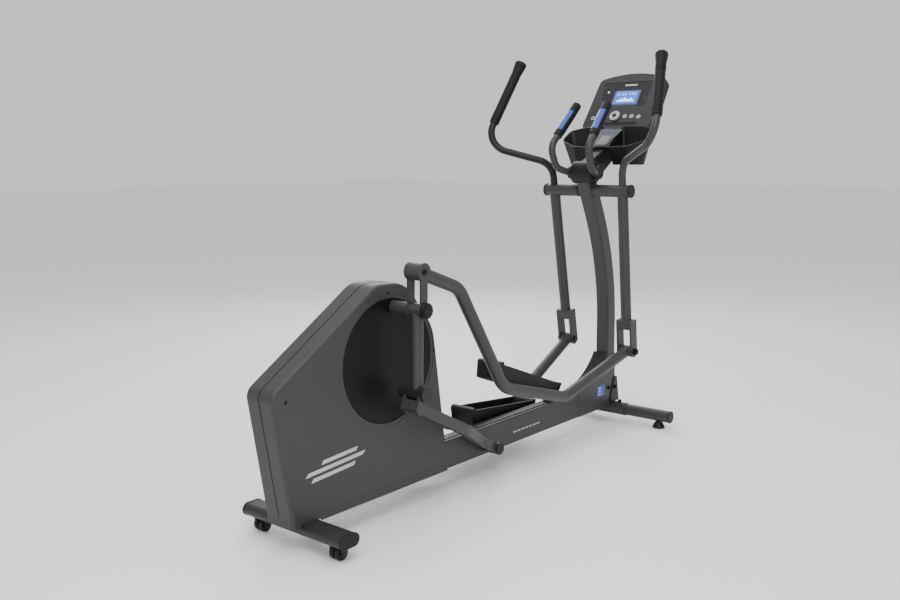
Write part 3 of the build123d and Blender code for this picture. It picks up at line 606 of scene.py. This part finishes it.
def rounded(width: float, height: float, radius: float, steps: int = 5) -> list[Point2]:
    """Returns the outline of a rectangle with round corners, centred on the origin."""
    outline: list[Point2] = []
    for corner, (sx, sy) in enumerate(((1, 1), (-1, 1), (-1, -1), (1, -1))):
        cx, cy = sx * (width / 2 - radius), sy * (height / 2 - radius)
        for step in range(steps + 1):
            angle = math.radians(90 * corner + 90 * step / steps)
            outline.append((cx + radius * math.cos(angle), cy + radius * math.sin(angle)))
    return outline


def rounded_path(corners: tuple[tuple[float, float, float], ...], steps: int = 12) -> list[Point2]:
    """Returns points along a path whose inner corners are rounded.

    Args:
        corners: First and second coordinate and rounding radius of each corner.
        steps: Segments along each rounding.

    Returns:
        The points, from the first corner to the last one.
    """
    path: list[Point2] = [corners[0][:2]]
    for before, here, after in zip(corners, corners[1:], corners[2:]):
        corner = Vector(here[:2])
        back = (Vector(before[:2]) - corner).normalized()
        ahead = (Vector(after[:2]) - corner).normalized()
        half = back.angle(ahead) / 2
        middle = corner + (back + ahead).normalized() * (here[2] / math.sin(half))
        first = corner + back * (here[2] / math.tan(half)) - middle
        last = corner + ahead * (here[2] / math.tan(half)) - middle
        for step in range(steps + 1):
            spoke = first.lerp(last, step / steps).normalized() * here[2]
            path.append(tuple(middle + spoke))
    path.append(corners[-1][:2])
    return path


# ---------------------------------------------------------------- sub-assemblies


@dataclass
class Housing:
    """Rear housing: seam gasket between the shells and the emblem on each side."""

    bench: Bench
    half: float = 0.061
    emblem_at: Point2 = (104.0, 240.0)
    corners: tuple[tuple[float, float, float], ...] = (
        (-76.5, 108, 0), (-140, 498, 40), (290, 771, 90), (430, 768, 130), (566, 600, 150), (636.2, 108, 0),
    )

    def build(self) -> None:
        """Builds the housing's pieces."""
        self.seam()
        for word, hand in SIDES.items():
            self.emblem(word, hand)

    def seam(self) -> None:
        """Adds the dark gasket that shows between the two shells."""
        self.bench.clear()
        points = [station(x, 0, z) for x, z in rounded_path(self.corners)]
        curve = bpy.data.curves.new("seam", "CURVE")
        curve.dimensions = "3D"
        curve.bevel_depth = 0.0011
        line = curve.splines.new("POLY")
        line.points.add(len(points) - 1)
        for knot, point in zip(line.points, points):
            knot.co = (*point, 1)
        obj = bpy.data.objects.new("seam", curve)
        bpy.context.scene.collection.objects.link(obj)
        obj.select_set(True)
        bpy.context.view_layer.objects.active = obj
        bpy.ops.object.convert(target="MESH")
        self.bench.place(bpy.context.object, "housing_seam_gasket", "seam", "base", "housing_grey")

    def emblem(self, word: str, hand: int) -> None:
        """Adds three slanted bars, a plain emblem, to one side."""
        bars = []
        bar = [(-0.110, -0.006), (0.098, -0.006), (0.110, 0.006), (-0.098, 0.006)]
        first = self.bench.prism(bar, 0.0006, 0.0002)
        for step, (along, up, size) in enumerate(((-0.012, -0.022, 0.85), (0.0, 0.0, 1.15), (0.018, 0.022, 0.7))):
            bars.append(Matrix.Translation((along, up, 0)) @ Matrix.Diagonal((size, 1, 1, 1)))
        obj = self.bench.copies(first, bars)
        x, z = self.emblem_at
        where = axes(station(x, hand * self.half * 1000, z), Vector((-hand, 0, 0)), Vector((0, hand, 0)))
        tilt = Matrix.Rotation(math.radians(4), 4, "Z")
        self.bench.place(obj, f"{word}_housing_emblem", "print", "base", "housing_grey", where @ tilt)


@dataclass
class FrameTrim:
    """Badge and printed dashes of the frame, weld beads and bolt heads."""

    bench: Bench
    base_half: float = 33.0
    rail_half: float = 30.0

    def build(self) -> None:
        """Builds the frame's small pieces."""
        for word, hand in SIDES.items():
            self.badge(word, hand)
            self.dashes(word, hand)
        self.saddle_welds()
        self.bolt_faces()

    def badge(self, word: str, hand: int) -> None:
        """Adds a plain two-tone badge to the side of the front base."""
        where = axes(station(1702, hand * self.base_half, 150), Vector((-hand, 0, 0)), Vector((0, hand, 0)))
        plate = self.bench.prism(rounded(0.058, 0.050, 0.006), 0.0008, 0.0003)
        self.bench.place(plate, f"{word}_badge_plate", "print blue", "base", "legend_grey", where)
        arm = self.bench.prism(rounded(0.026, 0.0065, 0.002), 0.0006, 0.0002)
        bars = self.bench.copies(arm, [Matrix.Translation((-0.012, up, 0.0008)) for up in (-0.014, 0.0, 0.014)])
        self.bench.place(bars, f"{word}_badge_bars", "print", "base", "legend_grey", where)

    def dashes(self, word: str, hand: int) -> None:
        """Adds a row of plain dashes along the rail's side."""
        dash = self.bench.prism(rounded(0.020, 0.0055, 0.0015), 0.0004, 0.0001)
        spots = [Matrix.Translation((0.026 * step, 0, 0)) for step in range(-3, 4)]
        row = self.bench.copies(dash, spots)
        where = axes(station(1150, hand * self.rail_half, 112), Vector((-hand, 0, 0)), Vector((0, hand, 0)))
        self.bench.place(row, f"{word}_rail_dashes", "print", "base", "frame_paint", where)

    def saddle_welds(self) -> None:
        """Adds beads where the front saddle meets the stabiliser."""
        bead = self.bench.ring(0.0270, 0.0016, ripple=0.18)
        ends = [axes(station(1818, y, 54), Vector((1, 0, 0)), Vector((0, 1, 0))) for y in (-95.5, 95.5)]
        self.bench.place(self.bench.copies(bead, ends), "saddle_weld_beads", "frame", "base", "frame_paint")

    def bolt_faces(self) -> None:
        """Adds socket heads over the frame's plain bolts."""
        head = self.bench.turned_button(0.0078, 0.0035, 0.004)
        spots = []
        for hand in SIDES.values():
            for x, z, proud in ((1768, 152, 4), (1812, 150, 9)):
                spots.append(axes(station(x, hand * (self.base_half + proud), z), Vector((1, 0, 0)), Vector((0, hand, 0))))
            spots.append(axes(station(1818, hand * 62, 88), Vector((1, 0, 0)), Vector((0, 0, 1))))
        self.bench.place(self.bench.copies(head, spots), "frame_bolt_heads", "bolt", "base", "black_steel")


@dataclass
class SideLinkage:
    """Treads, weld beads, bolt faces and grip rings of one side's linkage."""

    bench: Bench
    word: str
    hand: int
    top: Point2
    eye: Point2
    pin: Point2
    low: Point2
    link_y: float = 165.0
    arm: Point2 = (1623.0, 1021.0)

    def build(self) -> None:
        """Builds this side's pieces."""
        self.tread()
        self.lever_welds()
        self.arm_welds()
        self.bolt_faces()
        self.grip_rings()

    def frame(self, origin: Point2, towards: Point2, y: float) -> Matrix:
        """Returns the side-view place at a pivot with x towards another one."""
        along = Vector((towards[0] - origin[0], 0, towards[1] - origin[1]))
        return axes(station(origin[0], y, origin[1]), along, Vector((0, -1, 0)))

    def across(self, spot: Point2, y: float) -> Matrix:
        """Returns a place on the y axis that faces outwards on this side."""
        return axes(station(spot[0], y, spot[1]), Vector((1, 0, 0)), Vector((0, self.hand, 0)))

    def tread(self) -> None:
        """Adds the pedal's rubber mat with raised ribs."""
        lever = self.frame(self.top, self.eye, 0)
        lane = self.hand * 90.0
        start, end = Vector((612, -236, 0)), Vector((940, -238, 0))
        middle = (start + end) / 2000
        floor = lever @ Matrix.Translation((middle.x, middle.y, 0))
        origin = floor.translation + Vector((0, lane / 1000, 0))
        along = floor.to_3x3() @ Vector((1, 0, 0))
        up = floor.to_3x3() @ Vector((0, 1, 0))
        where = axes(origin, along, up)
        mat = self.bench.prism(rounded(0.318, 0.078, 0.012), 0.0022, 0.0008)
        self.bench.place(mat, f"{self.word}_pedal_mat", "tread", f"{self.word}_lever", "pedal_plastic", where)
        rib = self.bench.prism(rounded(0.290, 0.0042, 0.002, 3), 0.0028, 0.0010)
        lanes = [Matrix.Translation((0, -0.0315 + 0.009 * step, 0.002)) for step in range(8)]
        ribs = self.bench.copies(rib, lanes)
        self.bench.place(ribs, f"{self.word}_pedal_ribs", "tread", f"{self.word}_lever", "pedal_plastic", where)

    def lever_welds(self) -> None:
        """Adds beads where the lever's tube meets its front eye."""
        bead = self.bench.ring(0.0232, 0.0014, ripple=0.2)
        flats = [self.across(self.eye, self.hand * (self.link_y + off)) for off in (-25.2, 25.2)]
        obj = self.bench.copies(bead, flats)
        self.bench.place(obj, f"{self.word}_eye_rims", "frame", f"{self.word}_lever", "frame_paint")

    def arm_welds(self) -> None:
        """Adds end beads to the arm's sleeve."""
        bead = self.bench.ring(0.0252, 0.0013, ripple=0.15)
        spots = [self.across(self.arm, self.hand * y) for y in (39.8, 198.4)]
        obj = self.bench.copies(bead, spots)
        self.bench.place(obj, f"{self.word}_sleeve_rims", "frame", f"{self.word}_arm", "frame_paint")

    def bolt_faces(self) -> None:
        """Adds socket heads to the clevis bolt, the yoke bolts and the crank-pin cap."""
        clevis = self.bench.turned_button(0.0125, 0.005, 0.0062)
        where = self.across(self.eye, self.hand * (self.link_y + 42.5))
        self.bench.place(clevis, f"{self.word}_clevis_bolt_face", "bolt", f"{self.word}_arm", "black_steel", where)
        yoke = self.bench.turned_button(0.0092, 0.004, 0.005)
        spots = [self.across(self.top, self.hand * (self.link_y + 30.2))]
        heads = self.bench.copies(yoke, spots)
        self.bench.place(heads, f"{self.word}_yoke_bolt_face", "bolt", f"{self.word}_coupler", "black_steel")
        dish = self.bench.turned_button(0.021, 0.003, 0.013, 48)
        spots = [self.across(self.pin, self.hand * (self.link_y + 45.0))]
        cap = self.bench.copies(dish, spots)
        self.bench.place(cap, f"{self.word}_crank_pin_cap_face", "black", f"{self.word}_coupler", "black_steel")

    def grip_rings(self) -> None:
        """Adds the moulded rings near the ends of the moving grip."""
        lean = Vector((self.eye[0] - self.arm[0], 0, self.eye[1] - self.arm[1])).normalized()
        up, ahead = -lean, Vector((-lean.z, 0, lean.x))
        def on_arm(a: float, b: float, out: float) -> Vector:
            """Returns the model point at these distances in the arm's own directions."""
            spot = Vector((self.arm[0], 0, self.arm[1])) + ahead * a + up * b
            return station(spot.x, self.hand * (self.link_y + out), spot.z)
        low, high = on_arm(-158, 222, 234), on_arm(57, 527, 156)
        run = high - low
        ring = self.bench.ring(0.0204, 0.0012, 48)
        places = [axes(low + run * part, Vector((1, 0, 0)), run) for part in (0.31, 0.335, 0.36, 0.81, 0.835, 0.86)]
        rings = self.bench.copies(ring, places)
        self.bench.place(rings, f"{self.word}_grip_rings", "grip", f"{self.word}_arm", "grip_rubber")


@dataclass
class Console:
    """Display figures, key legends, recess lip and dial details on the console's face."""

    bench: Bench
    bottom: Point2 = (1829.0, 1282.0)
    up: Vector = field(default_factory=lambda: Vector((0.5698, 0, 0.8218)))
    out: Vector = field(default_factory=lambda: Vector((-0.8218, 0, 0.5698)))

    def build(self) -> None:
        """Builds the console's pieces."""
        self.screen()
        self.profile_bars()
        self.figures()
        self.recess_gloss_and_shade_panel()
        self.recess_lip()
        self.prints()
        self.dial_details()
        self.key_legends()
        self.tray_legend()

    def at(self, across: float, up: float, proud: float) -> Matrix:
        """Returns a place on the face, in millimetres, with x to the user's right."""
        origin = station(self.bottom[0], -across, self.bottom[1]) + self.up * (up / 1000) + self.out * (proud / 1000)
        return axes(origin, Vector((0, -1, 0)), self.out)

    def add(self, obj: bpy.types.Object, name: str, finish: str, where: Matrix, body: str = "base") -> None:
        """Mounts a piece on the face."""
        slot = {"dial": "dial_silver"}.get(body, "button_grey" if body.endswith("key") else "console_face")
        self.bench.place(obj, name, finish, body, slot, where)

    def screen(self) -> None:
        """Adds the lit field of the display."""
        field_plate = self.bench.prism(rounded(0.112, 0.066, 0.002), 0.0003)
        self.add(field_plate, "display_field", "lit blue", self.at(0, 162.5, -2.45))

    def profile_bars(self) -> None:
        """Adds the workout profile, a row of columns of different heights."""
        unit = self.bench.prism([(-0.0021, 0), (0.0021, 0), (0.0021, 0.01), (-0.0021, 0.01)], 0.0002)
        heights = (0.6, 0.9, 1.3, 1.7, 1.3, 1.9, 2.2, 1.8, 1.4, 1.0, 1.5, 2.0, 1.2, 0.8)
        spots = []
        for step, height in enumerate(heights):
            spots.append(Matrix.Translation((-0.039 + 0.006 * step, -0.022, 0)) @ Matrix.Diagonal((1, height, 1, 1)))
        self.add(self.bench.copies(unit, spots), "display_profile", "lit pale", self.at(0, 162.5, -2.1))

    def figures(self) -> None:
        """Adds a row of seven-segment figures, in two groups, above the profile."""
        bar = self.bench.prism([(-0.0026, -0.0005), (0.0026, -0.0005), (0.0026, 0.0005), (-0.0026, 0.0005)], 0.0002)
        lines = {"a": (0, 5, 0), "g": (0, 0, 0), "d": (0, -5, 0), "f": (-2.7, 2.5, 90), "b": (2.7, 2.5, 90),
                 "e": (-2.7, -2.5, 90), "c": (2.7, -2.5, 90)}
        shapes = {"0": "abcdef", "1": "bc", "2": "abged", "3": "abgcd", "5": "afgcd", "8": "abcdefg"}
        spots = []
        for index, digit in enumerate("0125308"):
            for segment in shapes[digit]:
                x, y, turn = lines[segment]
                centre = Vector((-0.042 + 0.0125 * index + (0.006 if index > 3 else 0), 0.018, 0))
                place = Matrix.Translation(centre + Vector((x, y, 0)) / 1000)
                spots.append(place @ Matrix.Rotation(math.radians(turn), 4, "Z"))
        self.add(self.bench.copies(bar, spots), "display_figures", "lit pale", self.at(0, 162.5, -2.1))

    def recess_gloss_and_shade_panel(self) -> None:
        """Adds the gloss black panel round the display, as four strips; its dark is partly the recess's own gloss black
        and partly painted shade in the deep recess.
        """
        unit = self.bench.prism([(-0.5, -0.5), (0.5, -0.5), (0.5, 0.5), (-0.5, 0.5)], 0.0003)
        spots = []
        for across, up, width, height in ((-96, 0, 48, 95), (96, 0, 48, 95), (0, 62, 240, 29), (0, -53, 240, 11)):
            move = Matrix.Translation((across / 1000, up / 1000, 0))
            spots.append(move @ Matrix.Diagonal((width / 1000, height / 1000, 1, 1)))
        self.add(self.bench.copies(unit, spots), "face_gloss_and_shade_panel", "gloss", self.at(0, 162.5, -2.05))

    def recess_lip(self) -> None:
        """Adds the raised lip round the display's window."""
        lip = self.bench.prism(rounded(0.144, 0.095, 0.008), 0.0016)
        self.bench.select_faces(lip, lambda face: abs(face.normal.z) > 0.9)
        bpy.ops.mesh.inset(thickness=0.0062, depth=0)
        bpy.ops.object.mode_set(mode="OBJECT")
        centre = [face for face in lip.data.polygons if abs(face.normal.z) > 0.9 and len(face.vertices) > 8]
        self.bench.select_faces(lip, lambda face: face.index in {one.index for one in centre})
        bpy.ops.mesh.delete(type="FACE")
        bpy.ops.mesh.select_mode(type="EDGE")
        bpy.ops.mesh.select_all(action="DESELECT")
        bpy.ops.mesh.select_non_manifold()
        bpy.ops.mesh.bridge_edge_loops()
        bpy.ops.mesh.select_all(action="SELECT")
        bpy.ops.mesh.normals_make_consistent(inside=False)
        bpy.ops.object.mode_set(mode="OBJECT")
        self.bench.bevel(lip, 0.0005)
        self.add(lip, "display_lip", "black", self.at(0, 162.5, -2.0))

    def prints(self) -> None:
        """Adds the plain printed bar, the slanted mark, the dark shelf band, which is partly painted shade of the deep
        lower slot, and the indicator.
        """
        bar = self.bench.prism(rounded(0.060, 0.007, 0.002), 0.0003)
        self.add(bar, "face_top_bar", "print", self.at(5, 228, -1.6))
        dot = self.bench.prism(rounded(0.010, 0.010, 0.0045), 0.0006, 0.0002)
        self.add(dot, "face_indicator", "lit green", self.at(-96, 194, -1.7))
        mark = self.bench.ring(0.0105, 0.0009, 48)
        self.add(mark, "face_round_mark", "dim print", self.at(100, 150, -1.6))
        # Black shelf band, partly painted shade: it stands for the dark depth of the lower slot.
        band = self.bench.prism(rounded(0.154, 0.008, 0.003), 0.0005)
        self.add(band, "face_shelf_and_slot_shade_band", "black", self.at(16, 20, -2.4))

    def dial_details(self) -> None:
        """Adds the dial's finger ring, centre key and four arrows."""
        ring = self.bench.ring(0.0180, 0.0016, 64)
        self.add(ring, "dial_finger_ring", "key", self.at(-17, 60, 9.0), "dial")
        centre = self.bench.turned_button(0.0095, 0.0016, 0.006, 40)
        self.add(centre, "dial_centre", "black", self.at(-17, 60, 8.8), "dial")
        arrow = self.bench.prism([(-0.0028, 0), (0.0028, 0), (0, 0.0042)], 0.0003)
        turns = [Matrix.Rotation(math.radians(90 * step), 4, "Z") @ Matrix.Translation((0, 0.0118, 0)) for step in range(4)]
        self.add(self.bench.copies(arrow, turns), "dial_arrows", "black", self.at(-17, 60, 8.9), "dial")

    def key_legends(self) -> None:
        """Adds one plain symbol to each key."""
        up = self.bench.prism([(-0.004, -0.003), (0.004, -0.003), (0, 0.0042)], 0.0003)
        self.add(up, "up_key_symbol", "black", self.at(31, 59, 2.1), "up_key")
        down = self.bench.prism([(-0.004, 0.003), (0, -0.0042), (0.004, 0.003)], 0.0003)
        self.add(down, "down_key_symbol", "black", self.at(98, 55, 2.1), "down_key")
        enter = self.bench.ring(0.0036, 0.0006, 32)
        self.add(enter, "enter_key_symbol", "black", self.at(64, 58, 2.2), "enter_key")
        line = self.bench.prism(rounded(0.009, 0.0016, 0.0007, 3), 0.0003)
        lines = self.bench.copies(line, [Matrix.Translation((0, up_by, 0)) for up_by in (-0.0028, 0.0, 0.0028)])
        self.add(lines, "scan_key_symbol", "black", self.at(-125, 54, 2.1), "scan_key")

    def tray_legend(self) -> None:
        """Adds rows of plain lines and three round marks to the tray's plate."""
        normal = Vector((-93, 0, 130)).normalized()
        origin = station(1765, 0, 1197 + 65 * 93 / 130) + normal * 0.002
        where = axes(origin, Vector((0, -1, 0)), normal)
        line = self.bench.prism(rounded(0.044, 0.0022, 0.001, 3), 0.0003)
        rows = [Matrix.Translation((0, -0.050 + 0.0085 * step, 0)) for step in range(7)]
        self.bench.place(self.bench.copies(line, rows), "tray_plate_lines", "print", "base", "legend_grey", where)
        mark = self.bench.ring(0.0085, 0.0008, 40)
        spots = [Matrix.Translation((across, 0.030, 0.0002)) for across in (-0.028, 0.0, 0.028)]
        self.bench.place(self.bench.copies(mark, spots), "tray_plate_marks", "print blue", "base", "legend_grey", where)


@dataclass
class Studio:
    """Pale floor, soft lights and the camera."""

    eye: tuple[float, float, float] = (-1818.8 / 1000 - MID, -2.1303, 1.1737)
    turn: tuple[float, float, float] = (81.30, 0.32, -50.07)
    lens: float = 38.1
    lights: list[tuple[str, tuple[float, float, float], tuple[float, float, float], float, float]] = field(
        default_factory=lambda: [
            ("key", (-2.2, -1.6, 3.4), (0.0, 0.0, 0.6), 2.4, 85.0),
            ("front", (-3.4, -2.9, 1.6), (0.0, 0.0, 0.7), 2.0, 26.0),
            ("rim", (2.6, 2.4, 2.8), (0.1, 0.0, 0.8), 2.2, 70.0),
            ("top", (0.0, 0.2, 3.8), (0.0, 0.0, 0.0), 3.2, 60.0),
        ]
    )

    def build(self, materials: dict[str, bpy.types.Material]) -> None:
        """Builds the studio and makes its camera the scene's camera."""
        self.world()
        self.floor()
        for name, place, aim, size, power in self.lights:
            self.light(name, Vector(place), Vector(aim), size, power)
        data = bpy.data.cameras.new("studio camera")
        data.lens = self.lens
        data.sensor_width = 36
        camera = bpy.data.objects.new("studio camera", data)
        bpy.context.scene.collection.objects.link(camera)
        camera.location = self.eye
        camera.rotation_euler = [math.radians(part) for part in self.turn]
        bpy.context.scene.camera = camera

    def world(self) -> None:
        """Sets an even pale surround."""
        world = bpy.data.worlds.new("surround")
        world.use_nodes = True
        world.node_tree.nodes["Background"].inputs["Color"].default_value = (1, 1, 1, 1)
        world.node_tree.nodes["Background"].inputs["Strength"].default_value = 0.85
        bpy.context.scene.world = world

    def floor(self) -> None:
        """Adds the floor, with a faint roughness pattern."""
        Bench.clear()
        bpy.ops.mesh.primitive_plane_add(size=60, location=(0, 0, 0))
        floor = bpy.context.object
        floor.name = "studio_floor"
        paint = bpy.data.materials.new("studio floor")
        paint.use_nodes = True
        tree = paint.node_tree
        shader = tree.nodes["Principled BSDF"]
        shader.inputs["Base Color"].default_value = (0.93, 0.93, 0.93, 1)
        cloud = tree.nodes.new("ShaderNodeTexNoise")
        cloud.inputs["Scale"].default_value = 3.0
        spread = tree.nodes.new("ShaderNodeMapRange")
        spread.inputs["To Min"].default_value = 0.62
        spread.inputs["To Max"].default_value = 0.72
        tree.links.new(cloud.outputs["Fac"], spread.inputs["Value"])
        tree.links.new(spread.outputs["Result"], shader.inputs["Roughness"])
        floor.data.materials.append(paint)

    @staticmethod
    def light(name: str, place: Vector, aim: Vector, size: float, power: float) -> None:
        """Adds a square soft light that looks at a point."""
        data = bpy.data.lights.new(name, "AREA")
        data.size = size
        data.energy = power
        lamp = bpy.data.objects.new(name, data)
        bpy.context.scene.collection.objects.link(lamp)
        lamp.location = place
        lamp.rotation_euler = (aim - place).to_track_quat("-Z", "Y").to_euler()


LINKS: dict[str, dict[str, Point2]] = {
    "right": {"top": (367.16, 813.98), "eye": (1689.0, 348.23), "pin": (365.36, 693.99), "low": (361.37, 427.02)},
    "left": {"top": (346.63, 463.58), "eye": (1743.99, 355.92), "pin": (322.64, 346.01), "low": (269.25, 84.4)},
}


def dress_nodes(nodes: dict[str, bpy.types.Object], bench: Bench, groups: EffectGroups) -> None:
    """Gives every CAD node its finish; the left moving handlebar gets black paint as painted shade.

    Args:
        nodes: The frame's nodes by name.
        bench: The shared bench, which holds the materials.
        groups: The shared effect groups.
    """
    chosen = dict(NODE_FINISHES)
    for word in SIDES:
        chosen.update({f"{word}_{piece}": finish for piece, finish in SIDE_FINISHES.items()})
    # Painted shade: the left moving handlebar is the same charcoal as the right one; black paint here stands for the
    # shade on it.
    chosen["left_moving_handlebar"] = "black paint and painted shade"
    for name, finish in chosen.items():
        give(nodes[name], bench.materials[finish])
    for word, points in LINKS.items():
        low, pin = station(points["low"][0], 0, points["low"][1]), station(points["pin"][0], 0, points["pin"][1])
        zones = ((low.x, low.z, 0.0262),)
        frame_finish = FINISHES["frame"]
        for piece, areas in (("rocker", zones), ("coupler", zones)):
            finish = Finish(
                f"{word} {piece} paint", frame_finish.colour, frame_finish.roughness, Relief.POWDER,
                frame_finish.metallic, wear=frame_finish.wear, dark_zones=areas,
            )
            give(nodes[f"{word}_{piece}"], finish.material(groups))
        LOG.info("%s linkage painted, crank pin at %s", word, tuple(round(v, 3) for v in pin))


def give(node: bpy.types.Object, material: bpy.types.Material) -> None:
    """Puts a material in every slot of a CAD node."""
    if not node.material_slots:
        node.data.materials.append(material)
    for slot in node.material_slots:
        slot.material = material


def main() -> None:
    """Builds the trainer's visual model."""
    logging.basicConfig(level=logging.INFO, format="%(name)s: %(message)s")
    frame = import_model()
    groups = EffectGroups()
    bench = Bench({key: finish.material(groups) for key, finish in FINISHES.items()})
    dress_nodes(frame["nodes"], bench, groups)
    Housing(bench).build()
    FrameTrim(bench).build()
    for word, hand in SIDES.items():
        SideLinkage(bench, word, hand, **LINKS[word]).build()
    Console(bench).build()
    Studio().build(bench.materials)


if __name__ == "__main__":
    main()
